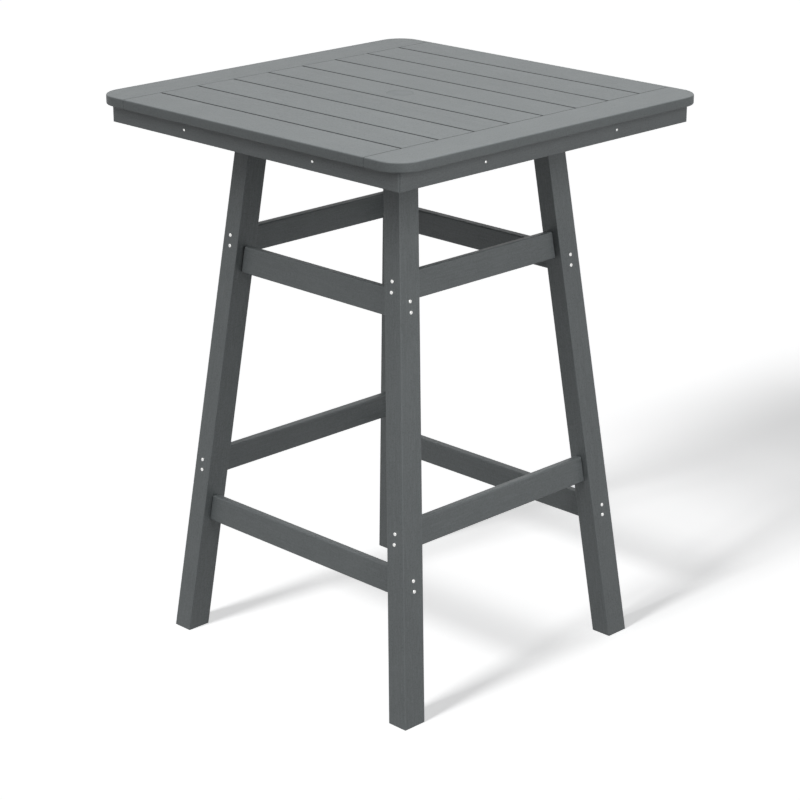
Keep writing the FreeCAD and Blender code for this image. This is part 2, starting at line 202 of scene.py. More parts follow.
def mixColours(tree, share, first, second):
    # a colour is given in hex, or as the socket that it comes from
    mix = addNode(tree, "Mix", {"data_type": "RGBA"}, {"Factor": share})
    for socket, colour in ((firstColour, first), (secondColour, second)):
        if isinstance(colour, str):
            mix.inputs[socket].default_value = linearFrom(colour)
        else:
            tree.links.new(colour, mix.inputs[socket])
    return mix.outputs[mixedColour]


def newMaterial(name):
    material = bpy.data.materials.new(name)
    material.use_nodes = True
    material.node_tree.nodes.clear()
    return material, material.node_tree


noiseReach = (0.3, 0.7)        # nearly all values of a noise lie in this span
patchReach = (0.35, 0.65)      # a shorter span, for patches with clearer borders


# Extruded HDPE lumber: the pigment goes right through, so there is no paint film. The die and the brushing
# rollers leave fine lines along the board, which give a satin, slightly streaked surface. Saw cuts show the
# duller foamed core. The slats' sides along the gaps get the same dark colour as painted shade between the
# slats, and the narrow rounds of the edges are coloured a little paler as a painted highlight.

lumberLook = {
    "colour": "#6a6f70",
    "deepStreak": "#5b6061",
    "paleStreak": "#797e7f",
    # a paler colour on the rounds of the edges, a painted highlight
    "rubbedEdge": "#787d7e",
    "rubbedStrength": 0.3,
    # the dark foamed core, also used as painted shade on the slats' sides along the gaps
    "sawnCore": "#3c4141",
    "sawnStrength": 0.9,
    "sawnDullness": 0.15,      # added to the roughness wherever the core colour is laid, also on the gaps' painted shade
    "ior": 1.54,
    "roughness": (0.44, 0.6),
    "grooveStrength": 0.55,
    "pitStrength": 0.3,
    "grooveDepth": 0.12,       # mm, also of the pits
    "boardSpread": 0.04,       # how much lighter or darker than the others a board can be
    "boardShift": 90,          # how far apart two boards lie in the patterns
    "apronShade": {"x": 0.77, "y": 0.88},      # painted shade: the apron boards are coloured darker, standing in for the shade under the top's overhang
}
# The patterns are laid over each other in this order. A size is in mm, across and along the board. A pattern
# begins to show at the first value of its noise and shows fully at the second, with the strength that comes
# third. Real brush lines are about 0.4 mm apart, drawn coarser so that they show.
lumberPatterns = {
    "streaks": {"size": (7, 260), "detail": 3, "warp": 0.6,
                "tone": "deepStreak", "shows": (0.5, 0.75, 0.45)},
    "lines": {"size": (2.2, 26), "detail": 2, "warp": 0,
              "tone": "paleStreak", "shows": (0.42, 0.72, 0.85)},
    "pits": {"size": (2.8, 2.8), "detail": 2, "warp": 0,
             "tone": "deepStreak", "shows": (0.46, 0.72, 0.8)},
    "clouds": {"size": (70, 70), "detail": 2, "warp": 0,
               "tone": "paleStreak", "shows": (0.45, 0.75, 0.3)},
}


def extrudedLumber(name, axis, paintedShade=1.0):
    look = lumberLook
    material, tree = newMaterial(name)
    place = addNode(tree, "TexCoord")
    turn = axis.to_track_quat("Z", "Y").to_euler()
    tone, rubbed, sawn = (addNode(tree, "Attribute", {"attribute_name": mark}).outputs["Fac"]
                          for mark in ("boardTone", "rubbed", "sawn"))
    shift = addNode(tree, "Math", {"operation": "MULTIPLY", 1: look["boardShift"]}, {0: tone})

    def addPattern(pattern):
        # a noise stretched along the board, with a different cut of it on each board
        width, length = pattern["size"]
        sizes = (width * mm, width * mm, length * mm)
        grid = addNode(tree, "Mapping", {"vector_type": "TEXTURE", "Rotation": turn, "Scale": sizes},
                       {"Vector": place.outputs["Object"]})
        settings = {"noise_dimensions": "4D", "Scale": 1, "Detail": pattern["detail"],
                    "Distortion": pattern["warp"]}
        noise = addNode(tree, "TexNoise", settings,
                        {"Vector": grid.outputs["Vector"], "W": shift.outputs[0]})
        return noise.outputs["Fac"]

    def blend(factor, first, second, low, high, strength):
        # goes from the first colour towards the second as the factor rises from low to high
        return mixColours(tree, mapRange(tree, factor, (low, high), (0, strength)), first, second)

    noises = {key: addPattern(pattern) for key, pattern in lumberPatterns.items()}
    colour = look["colour"]
    for key, pattern in lumberPatterns.items():
        colour = blend(noises[key], colour, look[pattern["tone"]], *pattern["shows"])
    # painted highlight: the narrow rounds of the edges are coloured paler
    colour = blend(rubbed, colour, look["rubbedEdge"], 0, 1, look["rubbedStrength"])
    # the core colour on cut ends and milled sides, and painted shade on the slats' sides along the gaps
    colour = blend(sawn, colour, look["sawnCore"], 0, 1, look["sawnStrength"])
    # paintedShade darkens the whole board as painted shade, and is 1 for the boards without it
    deepest, palest = (paintedShade * (1 + sign * look["boardSpread"]) for sign in (-1, 1))
    tint = mapRange(tree, tone, (0, 1), (deepest, palest))
    tinted = addNode(tree, "VectorMath", {"operation": "SCALE"}, {0: colour, "Scale": tint})

    rough = mapRange(tree, noises["lines"], noiseReach, look["roughness"])
    duller = addNode(tree, "Math", {"operation": "MULTIPLY_ADD", 1: look["sawnDullness"]},
                     {0: sawn, 2: rough})
    depth = look["grooveDepth"] * mm
    grooves = addNode(tree, "Bump", {"Strength": look["grooveStrength"], "Distance": depth},
                      {"Height": noises["lines"]})
    pitted = addNode(tree, "Bump", {"Strength": look["pitStrength"], "Distance": depth},
                     {"Height": noises["pits"], "Normal": grooves.outputs[0]})
    plastic = addNode(tree, "BsdfPrincipled", {"IOR": look["ior"]},
                      {"Base Color": tinted.outputs[0], "Roughness": duller.outputs[0],
                       "Normal": pitted.outputs[0]})
    addNode(tree, "OutputMaterial", {}, {"Surface": plastic.outputs[0]})
    return material


# Moulded polypropylene for the cap of the umbrella hole: the same grey, but an even fine spark-eroded
# texture in place of lines, so it looks flatter than the slats around it.

capFinish = {
    "base": "#6a6f70",
    "cloudy": "#707576",
    "ior": 1.49,
    "roughness": (0.5, 0.62),
    "grit": {"size": 0.8, "detail": 3},
    "cloud": {"size": 18, "detail": 1},
    "gritStrength": 0.35,
    "gritDepth": 0.05,
}


def mouldedCapPlastic():
    look = capFinish
    material, tree = newMaterial("mouldedCapPlastic")
    place = addNode(tree, "TexCoord")
    grit = addNoise(tree, place, **look["grit"])
    cloud = addNoise(tree, place, **look["cloud"])
    colour = mixColours(tree, mapRange(tree, cloud, patchReach), look["base"], look["cloudy"])
    rough = mapRange(tree, grit, (0, 1), look["roughness"])
    bump = addNode(tree, "Bump", {"Strength": look["gritStrength"], "Distance": look["gritDepth"] * mm},
                   {"Height": grit})
    plastic = addNode(tree, "BsdfPrincipled", {"IOR": look["ior"]},
                      {"Base Color": colour, "Roughness": rough, "Normal": bump.outputs[0]})
    addNode(tree, "OutputMaterial", {}, {"Surface": plastic.outputs[0]})
    return material


# Steel fasteners: cold-headed and tumbled stainless for the screws, bright with soft reflections, and
# zinc-plated bolts under the top, greyer and blotched by the plating bath.

steelLooks = {
    "tumbledStainlessScrew": {"bright": "#f0f0ee", "dull": "#dededc", "roughness": (0.2, 0.32),
                              "blotch": {"size": 2.5, "detail": 3}},
    "zincPlatedBolt": {"bright": "#b8bcc0", "dull": "#9a9ea3", "roughness": (0.3, 0.48),
                       "blotch": {"size": 4.0, "detail": 3}},
}
scuffLook = {"noise": {"size": 0.3, "detail": 2}, "strength": 0.1, "depth": 0.02}


def fastenerSteel(name):
    look = steelLooks[name]
    material, tree = newMaterial(name)
    place = addNode(tree, "TexCoord")
    blotch = addNoise(tree, place, **look["blotch"])
    scuffs = addNoise(tree, place, **scuffLook["noise"])
    colour = mixColours(tree, mapRange(tree, blotch, patchReach), look["bright"], look["dull"])
    rough = mapRange(tree, scuffs, noiseReach, look["roughness"])
    bump = addNode(tree, "Bump", {"Strength": scuffLook["strength"], "Distance": scuffLook["depth"] * mm},
                   {"Height": scuffs})
    steel = addNode(tree, "BsdfPrincipled", {"Metallic": 1},
                    {"Base Color": colour, "Roughness": rough, "Normal": bump.outputs[0]})
    addNode(tree, "OutputMaterial", {}, {"Surface": steel.outputs[0]})
    return material


lumberAlong = {}
apronLumberWithPaintedShade = {}
for key in "xy":
    ending = f"Along{key.upper()}"
    # the apron boards get a darker colour: painted shade for the shade that the top's overhang casts on them
    apronShade = lumberLook["apronShade"][key]
    lumberAlong[key] = extrudedLumber("extrudedLumber" + ending, axes[key])
    apronLumberWithPaintedShade[key] = extrudedLumber("extrudedApronLumber" + ending, axes[key], apronShade)
capPlastic = mouldedCapPlastic()
screwSteel = fastenerSteel("tumbledStainlessScrew")
boltSteel = fastenerSteel("zincPlatedBolt")
print("materials made")


# Finishing a piece: shading, what its surface is like face by face, its body and its finish

boardDraw = random.Random(7)
surfaceRules = {
    "smoothAngle": math.radians(35),          # faces that meet at less than this are shaded as one
    "rubbedWidths": (0.6 * mm, 1.2 * mm),     # the faces along a rounded edge, which get a painted highlight, are between these widths
    "endFacing": 0.95,                        # a face that looks this much along the board is a sawn end
    "mostlySawn": 0.5,
}


def longestSide(piece):
    return max(piece.dimensions)


def shadeFlatFacesFlat(piece):
    takeUp(piece)
    bpy.ops.object.shade_smooth_by_angle(angle=surfaceRules["smoothAngle"])
    applyModifier(piece, "WEIGHTED_NORMAL", keep_sharp=True)


def narrowest(piece, face):
    # the shortest side of a face, which is small on the rounds between the main faces
    points = [piece.data.vertices[k].co for k in face.vertices]
    return min((points[k] - points[k - 1]).length for k in range(len(points)))


def markSurface(piece, axis, coreAndGapShadeShare=None):
    # ends that look along the board get the core colour, unless a share is given, as for the slats, whose
    # sides along the gaps get it as painted shade. The narrow rounds between the main faces get a painted
    # highlight
    rules = surfaceRules
    low, high = rules["rubbedWidths"]
    tone = boardDraw.random()
    marks = {"boardTone": [], "rubbed": [], "sawn": []}
    for face in piece.data.polygons:
        isEnd = abs(face.normal.dot(axis)) > rules["endFacing"]
        sawn = coreAndGapShadeShare(face) if coreAndGapShadeShare else float(isEnd)
        isRound = low < narrowest(piece, face) < high and face.area < high * longestSide(piece)
        marks["boardTone"].append(tone)
        marks["rubbed"].append(float(isRound and sawn < rules["mostlySawn"]))
        marks["sawn"].append(sawn)
    for name, values in marks.items():
        layer = piece.data.attributes.new(name, "FLOAT", "FACE")
        layer.data.foreach_set("value", values)


def finishPiece(piece, material, body, node):
    piece.data.materials.clear()
    piece.data.materials.append(material)
    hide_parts(node)
    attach(piece, body)


def finishBoard(piece, axis, material, node, coreAndGapShadeShare=None):
    shadeFlatFacesFlat(piece)
    markSurface(piece, axis, coreAndGapShadeShare)
    finishPiece(piece, material, "table", node)


# The top: slats between two end boards that carry the rounded corners

slabLook = {
    "topRadius": 2.5 * mm,
    "topSteps": 5,
    "lowerRadius": 2.5 * mm,
    "lowerSteps": 3,
    "gapRadius": 0.8 * mm,
    "gapSteps": 3,
    "seamEasing": 0.12 * mm,
    "endPlay": 0.4 * mm,
    "sidePlay": 0.15 * mm,
    # a short tongue on the end board closes each end of the seam, just behind the table's side
    "tongueLength": 12 * mm,
    "tongueReach": 1.34 * mm,
    "tongueSetBack": 0.3 * mm,
    "tongueDrop": 2.6 * mm,
    "cornerRadius": 50 * mm,
    "cornerSteps": 20,
    "sideFacing": (-0.98, 0.6),     # a face on the table's side looks down or up no more than this
    "coreShare": 0.44,              # how much of the foamed core shows there
}
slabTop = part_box("slat_1")[1].z
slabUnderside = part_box("slat_1")[0].z
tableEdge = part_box("end_board_front")[1].x


def onTop(start, end):
    return min(start.z, end.z) > slabTop - near


def onUnderside(start, end):
    return max(start.z, end.z) < slabUnderside + near


def milledShare(face):
    # the table's side was milled to shape and then brushed, so the core shows only in part
    lowest, highest = slabLook["sideFacing"]
    reach = max(abs(face.center.x), abs(face.center.y))
    isTableSide = lowest < face.normal.z < highest and reach > tableEdge - slabLook["cornerRadius"]
    return slabLook["coreShare"] if isTableSide else 0.0


def slatCoreAndGapShade(face):
    # a slat's cut ends show the foamed core, and its sides along the gaps get the same dark colour as
    # painted shade
    # # between the slats. What lies on the table's side is milled
    isTableSide = abs(face.center.x) > tableEdge - slabLook["topRadius"]
    return milledShare(face) if isTableSide else max(abs(face.normal.x), abs(face.normal.y))


def roundSlatEdges(slat):
    look = slabLook
    long = axes["y"]

    def isTableEdge(start, end):
        return min(abs(start.x), abs(end.x)) > tableEdge - near

    roundEdges(slat, look["gapRadius"], look["gapSteps"], lambda start, end:
               onTop(start, end) and parallel(start, end, long) and not isTableEdge(start, end))
    roundEdges(slat, look["topRadius"], look["topSteps"], lambda start, end:
               onTop(start, end) and parallel(start, end, long) and isTableEdge(start, end))
    roundEdges(slat, look["lowerRadius"], look["lowerSteps"], lambda start, end:
               onUnderside(start, end) and parallel(start, end, long) and isTableEdge(start, end))
    easeSharpEdges(slat, look["seamEasing"])


def roundEndBoardEdges(board, outerFace):
    look = slabLook
    seam = board.dimensions.y - near
    roundEdges(board, look["cornerRadius"], look["cornerSteps"], lambda start, end:
               parallel(start, end, axes["z"]) and abs(start.y - outerFace) < near)

    def isOpen(start, end):
        return min(abs(start.y - outerFace), abs(end.y - outerFace)) < seam

    roundEdges(board, look["topRadius"], look["topSteps"], lambda start, end:
               onTop(start, end) and isOpen(start, end))
    roundEdges(board, look["lowerRadius"], look["lowerSteps"], lambda start, end:
               onUnderside(start, end) and isOpen(start, end))
    easeSharpEdges(board, look["seamEasing"])


def addTongues(board, innerFace, inward):
    look = slabLook
    root, tip = sorted(innerFace + inward * reach for reach in (-look["tongueLength"], look["tongueReach"]))
    outerEnd = tableEdge - look["tongueSetBack"]
    for sign in (1, -1):
        first, last = sorted((sign * outerEnd, sign * (outerEnd - look["tongueLength"])))
        low = (first, root, slabUnderside + look["tongueDrop"])
        high = (last, tip, slabTop - look["tongueDrop"])
        tongue = addBlock("tongue", low, high)
        applyModifier(board, "BOOLEAN", operation="UNION", solver="EXACT", object=tongue)
        bpy.data.objects.remove(tongue)


boreMount = next(m for m in frame["record"]["mounts"] if m["name"] == "umbrella_bore")
capLow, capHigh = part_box("umbrella_cap")
capRadius = (capHigh.x - capLow.x) / 2
capFit = {"recessPlay": 0.2 * mm, "rimRadius": 0.12 * mm, "rimSteps": 2, "sides": 96}


def cutUmbrellaHole(slat):
    # a through bore for the pole, and a recess that the cap lies in
    fit = capFit
    above = slabTop + overrun
    boreRadius = boreMount["dims"]["r_mm"] * mm
    cutAway(slat, addRound("boreCutter", boreRadius, slabUnderside - overrun, above, fit["sides"]))
    recessRadius = capRadius + fit["recessPlay"]
    recessFloor = capLow.z - fit["recessPlay"]
    cutAway(slat, addRound("recessCutter", recessRadius, recessFloor, above, fit["sides"]))

    def onRim(start, end):
        offsets = (abs(point.xy.length - recessRadius) for point in (start, end))
        return onTop(start, end) and max(offsets) < 2 * near

    roundEdges(slat, fit["rimRadius"], fit["rimSteps"], onRim)


def slatCorners(node):
    # the slat's box in the frame, drawn in at its ends and at the sides that look into a gap
    look = slabLook
    low, high = (corner.copy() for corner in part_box(node))
    low.y += look["endPlay"]
    high.y -= look["endPlay"]
    if low.x > near - tableEdge:
        low.x += look["sidePlay"]
    if high.x < tableEdge - near:
        high.x -= look["sidePlay"]
    return low, high


slatNodes = sorted(name for name in frame["nodes"] if name.startswith("slat_") and name[5:].isdigit())
for node in slatNodes:
    low, high = slatCorners(node)
    slat = addBlock(pieceName(node), low, high)
    roundSlatEdges(slat)
    if low.x < 0 < high.x:
        cutUmbrellaHole(slat)
    # the slats' sides along the gaps get painted shade through their share of core colour
    finishBoard(slat, axes["y"], lumberAlong["y"], node, slatCoreAndGapShade)

for end, outward in (("front", -1), ("back", 1)):
    node = f"end_board_{end}"
    low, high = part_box(node)
    board = addBlock(pieceName(node), low, high)
    roundEndBoardEdges(board, high.y if outward > 0 else low.y)
    addTongues(board, low.y if outward > 0 else high.y, -outward)
    finishBoard(board, axes["x"], lumberAlong["x"], node, milledShare)
print("top made")


# The cap: a disc with a hollow underside that lies flush in the middle slat

capLook = {"rimRadius": 0.45 * mm, "rimSteps": 3, "wall": 1.8 * mm}


def makeCap():
    look = capLook
    cap = addRound(pieceName("umbrella_cap"), capRadius, capLow.z, capHigh.z, capFit["sides"])
    roundEdges(cap, look["rimRadius"], look["rimSteps"],
               lambda start, end: min(start.z, end.z) > capHigh.z - near)
    # the hollow under the disc
    pickFaces(cap, lambda middle, normal: normal.z < -alike)
    bpy.ops.mesh.inset(thickness=look["wall"])
    depth = capHigh.z - capLow.z - look["wall"]
    bpy.ops.mesh.extrude_region_move(TRANSFORM_OT_translate={"value": (0, 0, depth)})
    bpy.ops.object.mode_set(mode="OBJECT")
    shadeFlatFacesFlat(cap)
    finishPiece(cap, capPlastic, "umbrella_cap", "umbrella_cap")


makeCap()


# The apron: four boards around the underside, mitred at the corners

underLook = {"easing": 0.6 * mm, "cornerCut": 2 * mm, "lapPlay": 0.2 * mm}
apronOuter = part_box("apron_front")[1].x

for side in ("front", "back", "right", "left"):
    node = f"apron_{side}"
    low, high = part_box(node)
    board = addBlock(pieceName(node), low, high)
    middle = (low + high) / 2
    outward = Vector((middle.x, middle.y, 0)).normalized()
    along = Vector((-outward.y, outward.x, 0))
    for sign in (1, -1):
        corner = (outward + along * sign) * apronOuter
        sawOff(board, corner, along * sign - outward)
        sawOff(board, corner - outward * underLook["cornerCut"], outward + along * sign)
    easeSharpEdges(board, underLook["easing"])
    key = "x" if side in ("front", "back") else "y"
    finishBoard(board, axes[key], apronLumberWithPaintedShade[key], node)


# The rails: half-lapped where they cross, from apron to apron

for side in ("front", "back", "right", "left"):
    node = f"rail_{side}"
    low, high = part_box(node)
    rail = addBlock(pieceName(node), low, high)
    runsAlongX = side in ("front", "back")
    halfway = (low.z + high.z) / 2
    for crossing in (("right", "left") if runsAlongX else ("front", "back")):
        lapLow, lapHigh = (corner.copy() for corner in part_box(f"rail_{crossing}"))
        play = Vector((1, 1, 0)) * underLook["lapPlay"]
        lapLow, lapHigh = lapLow - play, lapHigh + play
        # the rails along x keep their upper half, the rails along y their lower half
        if runsAlongX:
            lapLow.z, lapHigh.z = low.z - overrun, halfway
        else:
            lapLow.z, lapHigh.z = halfway, high.z + overrun
        cutAway(rail, addBlock("lapCutter", lapLow, lapHigh))
    easeSharpEdges(rail, underLook["easing"])
    key = "x" if runsAlongX else "y"
    finishBoard(rail, axes[key], lumberAlong[key], node)
print("apron and rails made")


# The legs: tapered, leaning inwards in x and in y, heads notched around the crossing of the rails

legLook = {
    "edgeRadius": 1.7 * mm,
    "edgeSteps": 4,
    "easing": 0.6 * mm,
    "notchPlay": 0.3 * mm,
    "cutterReach": 1000 * mm,    # the notch cutter ends well past the table's sides
    "levelPlay": 0.1 * mm,       # points this close to a height lie on it
}
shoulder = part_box("rail_right")[0].z


def sectionAt(node, height):
    # the lowest and highest x and y of the leg at that height
    points = [vertex.co for vertex in frame["nodes"][node].data.vertices]
    level = [p for p in points if abs(p.z - height) < legLook["levelPlay"]]
    low = Vector((min(p.x for p in level), min(p.y for p in level), height))
    high = Vector((max(p.x for p in level), max(p.y for p in level), height))
    return low, high


def legSections(node):
    # the leg's section at the floor, and the one at the slab's underside that the same faces lead to
    foot, neck = sectionAt(node, 0), sectionAt(node, shoulder)
    share = slabUnderside / shoulder
    head = [foot[k].lerp(neck[k], share) for k in (0, 1)]
    return foot, head


def makeLeg(end, side):
    look = legLook
    node = f"leg_{end}_{side}"
    foot, head = legSections(node)
    footMiddle, headMiddle = (foot[0] + foot[1]) / 2, (head[0] + head[1]) / 2
    lean = (headMiddle - footMiddle).normalized()
    leg = addBlock(pieceName(node), foot[0], foot[1] + Vector((0, 0, slabUnderside)))
    # the top face of the block is drawn in to the head's size and moved over to its place
    pickFaces(leg, lambda middle, normal: normal.z > alike)
    above = Vector((footMiddle.x, footMiddle.y, slabUnderside))
    ratio = [(head[1][k] - head[0][k]) / (foot[1][k] - foot[0][k]) for k in (0, 1)]
    bpy.ops.transform.resize(value=(*ratio, 1), center_override=above)
    bpy.ops.transform.translate(value=headMiddle - above)
    bpy.ops.object.mode_set(mode="OBJECT")
    roundEdges(leg, look["edgeRadius"], look["edgeSteps"],
               lambda start, end: abs(end.z - start.z) > slabUnderside / 2)
    for across, rail in ((0, side), (1, end)):
        railLow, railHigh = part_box(f"rail_{rail}")
        outwards = 1 if railLow[across] > 0 else -1
        step = railHigh[across] + look["notchPlay"] if outwards > 0 else railLow[across] - look["notchPlay"]
        low = Vector((-look["cutterReach"], -look["cutterReach"], shoulder))
        high = Vector((look["cutterReach"], look["cutterReach"], slabUnderside + overrun))
        (high if outwards > 0 else low)[across] = step
        cutAway(leg, addBlock("notchCutter", low, high))
    easeSharpEdges(leg, look["easing"])
    lumber = extrudedLumber(f"extrudedLumberLeg{end.title()}{side.title()}", lean)
    finishBoard(leg, lean, lumber, node)


for end in ("front", "back"):
    for side in ("right", "left"):
        makeLeg(end, side)
print("legs made")


# The stretchers: tilted with the legs, their ends cut to the legs' inner faces

stretcherLook = {
    "thickness": 16 * mm,
    "height": 51 * mm,
    "edgeRadius": 3 * mm,
    "edgeSteps": 5,
    "easing": 0.5 * mm,
}
legFoot, legHead = legSections("leg_back_right")      # the one at +x and +y


def makeStretcher(row, side):
    look = stretcherLook
    node = f"{row}_stretcher_{side}"
    low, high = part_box(node)
    middle = (low + high) / 2
    along = 0 if side in ("front", "back") else 1
    across = 1 - along
    outwards = 1 if middle[across] > 0 else -1
    drift = (legFoot[0] + legFoot[1] - legHead[0] - legHead[1])[across] / 2
    tilt = math.atan(drift / slabUnderside) * outwards
    turn = [0, 0, 0]
    turn[along] = tilt if along == 0 else -tilt
    half = Vector((0, 0, look["height"] / 2))
    half[along] = legFoot[0][along]
    half[across] = look["thickness"] / 2
    board = addBlock(pieceName(node), middle - half, middle + half, turn)
    # both ends are cut at the planes of the legs' inner faces
    for sign in (1, -1):
        footPoint, headPoint = Vector((0, 0, 0)), Vector((0, 0, slabUnderside))
        footPoint[along] = legFoot[0][along] * sign
        headPoint[along] = legHead[0][along] * sign
        fall = headPoint - footPoint
        normal = Vector((0, 0, -fall[along]))
        normal[along] = slabUnderside
        sawOff(board, footPoint, normal * sign)
    key = "xy"[along]
    roundEdges(board, look["edgeRadius"], look["edgeSteps"],
               lambda start, end: parallel(start, end, axes[key]))
    easeSharpEdges(board, look["easing"])
    finishBoard(board, axes[key], lumberAlong[key], node)


for row in ("upper", "lower"):
    for side in ("front", "back", "right", "left"):
        makeStretcher(row, side)
print("stretchers made")


# Fasteners: each group is one modelled screw or bolt, copied to every place that the frame gives

screwLook = {
    "headHeight": 1.8 * mm,
    "headSides": 36,
    "rimRadius": 0.95 * mm,
    "rimSteps": 4,
    "recessRadius": 1.3 * mm,
    "recessDepth": 0.5 * mm,
    "recessSides": 12,
    "lobeShare": 0.74,
    "shankRadius": 2 * mm,
    "shankSides": 16,
}
boltLook = {
    "headHeight": 4 * mm,
    "headSides": 6,
    "chamfer": 0.45 * mm,
    "chamferSteps": 2,
    "shankRadius": 3 * mm,
    "shankSides": 20,
}
finderRules = {
    "weldDistance": 0.001 * mm,
    "flatAngle": math.radians(1),
    "headShare": 0.9,          # a head's outer face has at least this share of the largest face's area
}


def headFaces(node, corners):
    # the outer face of each head in the group, as its middle and normal, and its radius
    source = frame["nodes"][node]
    copy = bpy.data.objects.new("headFinder", source.data.copy())
    bpy.context.scene.collection.objects.link(copy)
    takeUp(copy)
    bpy.ops.object.mode_set(mode="EDIT")
    bpy.ops.mesh.select_all(action="SELECT")
    bpy.ops.mesh.remove_doubles(threshold=finderRules["weldDistance"])
    bpy.ops.mesh.dissolve_limited(angle_limit=finderRules["flatAngle"])
    bpy.ops.object.mode_set(mode="OBJECT")
    faces = [face for face in copy.data.polygons if len(face.vertices) == corners]
    largest = max(face.area for face in faces)
    heads = [face for face in faces if face.area > largest * finderRules["headShare"]]
    points = copy.data.vertices
    middles = [sum((points[k].co for k in face.vertices), Vector()) / corners for face in heads]
    found = [(middle, face.normal.copy()) for middle, face in zip(middles, heads)]
    radius = (points[heads[0].vertices[0]].co - middles[0]).length
    bpy.data.objects.remove(copy)
    return found, radius


def joinPieces(pieces, name):
    takeUp(pieces[0])
    for piece in pieces[1:]:
        piece.select_set(True)
    bpy.ops.object.join()
    joined = bpy.context.object
    joined.name = name
    return joined


def modelScrew(headRadius, length):
    # pan head with a six-lobe recess, its outer face at height zero, the shank below it
    look = screwLook
    head = addRound("screwHead", headRadius, -look["headHeight"], 0, look["headSides"])
    roundEdges(head, look["rimRadius"], look["rimSteps"], lambda start, end: min(start.z, end.z) > -near)
    sides = look["recessSides"]
    cutter = addRound("lobeCutter", look["recessRadius"], -look["recessDepth"], overrun, sides)
    sectorAngle = 2 * math.pi / sides
    for point in cutter.data.vertices:
        sector = round(math.atan2(point.co.y, point.co.x) / sectorAngle)
        if sector % 2:
            point.co.xy = point.co.xy * look["lobeShare"]
    cutAway(head, cutter)
    shank = addRound("screwShank", look["shankRadius"], -length, -look["headHeight"], look["shankSides"])
    screw = joinPieces([head, shank], "screwModel")
    shadeFlatFacesFlat(screw)
    return screw


def modelBolt(headRadius, length):
    # hexagon head with its corners turned off, and a plain shank
    look = boltLook
    head = addRound("boltHead", headRadius, -look["headHeight"], 0, look["headSides"])
    roundEdges(head, look["chamfer"], look["chamferSteps"], lambda start, end: min(start.z, end.z) > -near)
    shank = addRound("boltShank", look["shankRadius"], -length, -look["headHeight"], look["shankSides"])
    bolt = joinPieces([head, shank], "boltModel")
    shadeFlatFacesFlat(bolt)
    return bolt


def placeCopies(model, places, name):
    copies = []
    for middle, normal in places:
        copy = model.copy()
        copy.data = model.data.copy()
        bpy.context.scene.collection.objects.link(copy)
        copy.location = middle
        copy.rotation_euler = normal.to_track_quat("Z", "Y").to_euler()
        takeUp(copy)
        bpy.ops.object.transform_apply(location=True, rotation=True, scale=True)
        copies.append(copy)
    return joinPieces(copies, name)


# the corners are those of a head in the frame, and the apron's screws have smaller trim heads
fastenerKinds = {
    "stretcherScrew": {"model": modelScrew, "corners": 10, "headShare": 1, "length": 80 * mm,
                       "material": screwSteel, "slot": "stainless_screw_steel"},
    "apronScrew": {"model": modelScrew, "corners": 10, "headShare": 0.7, "length": 35 * mm,
                   "material": screwSteel, "slot": "apron_screw_steel"},
    "topScrew": {"model": modelScrew, "corners": 10, "headShare": 1, "length": 49 * mm,
                 "material": screwSteel, "slot": "stainless_screw_steel"},
    "legBolt": {"model": modelBolt, "corners": 6, "headShare": 1, "length": 44 * mm,
                "material": boltSteel, "slot": "bolt_steel"},
}


def makeFasteners(node, kindName):
    kind = fastenerKinds[kindName]
    places, radius = headFaces(node, kind["corners"])
    single = kind["model"](radius * kind["headShare"], kind["length"])
    group = placeCopies(single, places, pieceName(node))
    bpy.data.objects.remove(single)
    finishPiece(group, kind["material"], "table", node)


for axis in "xy":
    for row in ("upper", "lower"):
        makeFasteners(f"{row}_screws_along_{axis}", "stretcherScrew")
    makeFasteners(f"apron_screws_along_{axis}", "apronScrew")
    makeFasteners(f"leg_bolts_along_{axis}", "legBolt")
for node in ("slat_screws", "end_board_screws"):
    makeFasteners(node, "topScrew")
print("fasteners made")


# Studio: white floor and background. A soft box above the near corner lights the top, and a soft box in
# front and a wide lamp on the left light the sides. A wide lamp from behind makes the back faces readable,
# and stays out of reflections, because it would mirror in the top. One more, low on the left, lights only
# the floor, for the long shadows. A level of 1 lights a surface that faces the lamp so that its colour
# renders as written.

studio = {
    "floorSize": 60,
    "floorColour": "#f8f8f8",      # as the camera sees it
    "floorBounce": "#404040",      # as it lights the table from below
    "floorLift": 0.6,              # added for the camera, so that the lit floor reads as white
    "ambient": 0.06,
    "ambientColour": "#f4f8ff",
    "tableMiddle": (0, 0, 0.6),
}
lamps = {
    "topBox": {"at": (-0.5, -0.5, 3.4), "size": 1.8, "level": 0.4, "lights": "table"},
    "frontBox": {"at": (-0.3, -2.2, 1.75), "size": 1.6, "level": 0.37, "lights": "table"},
    "leftFill": {"from": (-1, 0, 0.9), "angle": 40, "level": 0.335, "lights": "table"},
    "backFill": {"from": (1, 1, 0.5), "angle": 50, "level": 0.2, "lights": "table", "inGloss": False},
    "longShadow": {"from": (-1, 0.02, 0.66), "angle": 12, "level": 0.7, "lights": "floor"},
}


def seenByEye(tree):
    # 1 for what the camera sees, also in a reflection or through glass, and 0 for light on its way
    rays = addNode(tree, "LightPath")
    seen = rays.outputs["Is Camera Ray"]
    for kind in ("Is Glossy Ray", "Is Transmission Ray"):
        seen = addNode(tree, "Math", {"operation": "MAXIMUM"}, {0: seen, 1: rays.outputs[kind]}).outputs[0]
    return seen


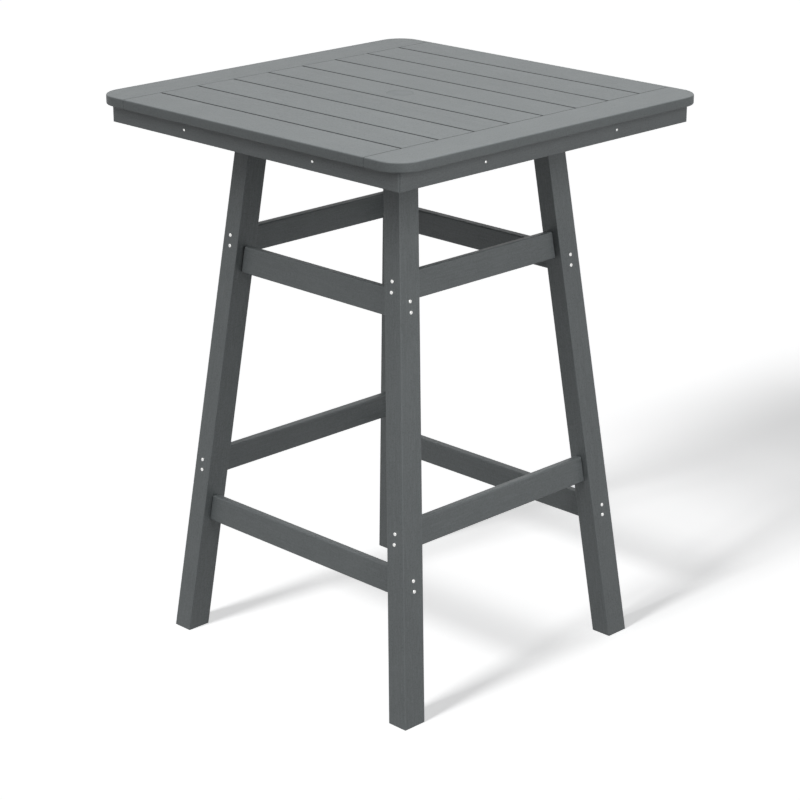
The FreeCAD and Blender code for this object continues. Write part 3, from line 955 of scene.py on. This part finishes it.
def makeFloor():
    clearSelection()
    bpy.ops.mesh.primitive_plane_add(size=studio["floorSize"])
    floor = bpy.context.object
    floor.name = "floor"
    material, tree = newMaterial("studioPaper")
    bounce = addNode(tree, "BsdfDiffuse", {"Color": linearFrom(studio["floorBounce"])})
    paper = addNode(tree, "BsdfDiffuse", {"Color": linearFrom(studio["floorColour"])})
    glow = addNode(tree, "Emission", {"Strength": studio["floorLift"]})
    lit = addNode(tree, "AddShader", {}, {0: paper.outputs[0], 1: glow.outputs[0]})
    mix = addNode(tree, "MixShader", {}, {0: seenByEye(tree), 1: bounce.outputs[0], 2: lit.outputs[0]})
    addNode(tree, "OutputMaterial", {}, {"Surface": mix.outputs[0]})
    floor.data.materials.append(material)
    return floor


def makeWorld():
    world = bpy.data.worlds.new("studioWorld")
    bpy.context.scene.world = world
    world.use_nodes = True
    tree = world.node_tree
    tree.nodes.clear()
    ambient = addNode(tree, "Background",
                      {"Color": linearFrom(studio["ambientColour"]), "Strength": studio["ambient"]})
    white = addNode(tree, "Background", {"Color": (1, 1, 1, 1), "Strength": 1})
    mix = addNode(tree, "MixShader", {}, {0: seenByEye(tree), 1: ambient.outputs[0], 2: white.outputs[0]})
    addNode(tree, "OutputWorld", {}, {"Surface": mix.outputs[0]})


def makeLamp(name, lamp, floor):
    # a lamp that stands at a place is a soft box, and one that only has a direction is a far light
    isBox = "at" in lamp
    light = bpy.data.lights.new(name, "AREA" if isBox else "SUN")
    holder = bpy.data.objects.new(name, light)
    bpy.context.scene.collection.objects.link(holder)
    if isBox:
        fromTable = Vector(lamp["at"]) - Vector(studio["tableMiddle"])
        light.size = lamp["size"]
        light.energy = (math.pi * fromTable.length) ** 2 * lamp["level"]
        holder.location = lamp["at"]
        holder.visible_camera = False
    else:
        fromTable = Vector(lamp["from"])
        light.angle = math.radians(lamp["angle"])
        light.energy = math.pi * lamp["level"]
    holder.rotation_euler = fromTable.to_track_quat("Z", "Y").to_euler()
    holder.visible_glossy = lamp.get("inGloss", True)
    # the lamp lights only the floor, or everything but the floor
    group = bpy.data.collections.new(name)
    group.objects.link(floor)
    state = "INCLUDE" if lamp["lights"] == "floor" else "EXCLUDE"
    group.collection_objects[0].light_linking.link_state = state
    holder.light_linking.receiver_collection = group


floor = makeFloor()
makeWorld()
for name, lamp in lamps.items():
    makeLamp(name, lamp, floor)


# Camera: over the front left leg, looking down a little. The photograph keeps its uprights parallel, which
# takes a lens shift of nearly a whole frame. Here the camera is tipped down in its place.

cameraLook = {
    "distance": 4.211,
    "height": 1.959,
    "turn": -44.91,
    "tipDown": 19.43,
    "lens": 105.35,
    "sensorWidth": 36,
}


def makeCamera():
    look = cameraLook
    data = bpy.data.cameras.new("camera")
    data.sensor_width = look["sensorWidth"]
    data.lens = look["lens"]
    camera = bpy.data.objects.new("camera", data)
    bpy.context.scene.collection.objects.link(camera)
    turn = math.radians(look["turn"])
    distance = look["distance"]
    camera.location = (distance * math.sin(turn), -distance * math.cos(turn), look["height"])
    camera.rotation_euler = (math.radians(90 - look["tipDown"]), 0, turn)
    bpy.context.scene.camera = camera


makeCamera()
bpy.context.scene.view_settings.view_transform = "Standard"
print("studio and camera made")
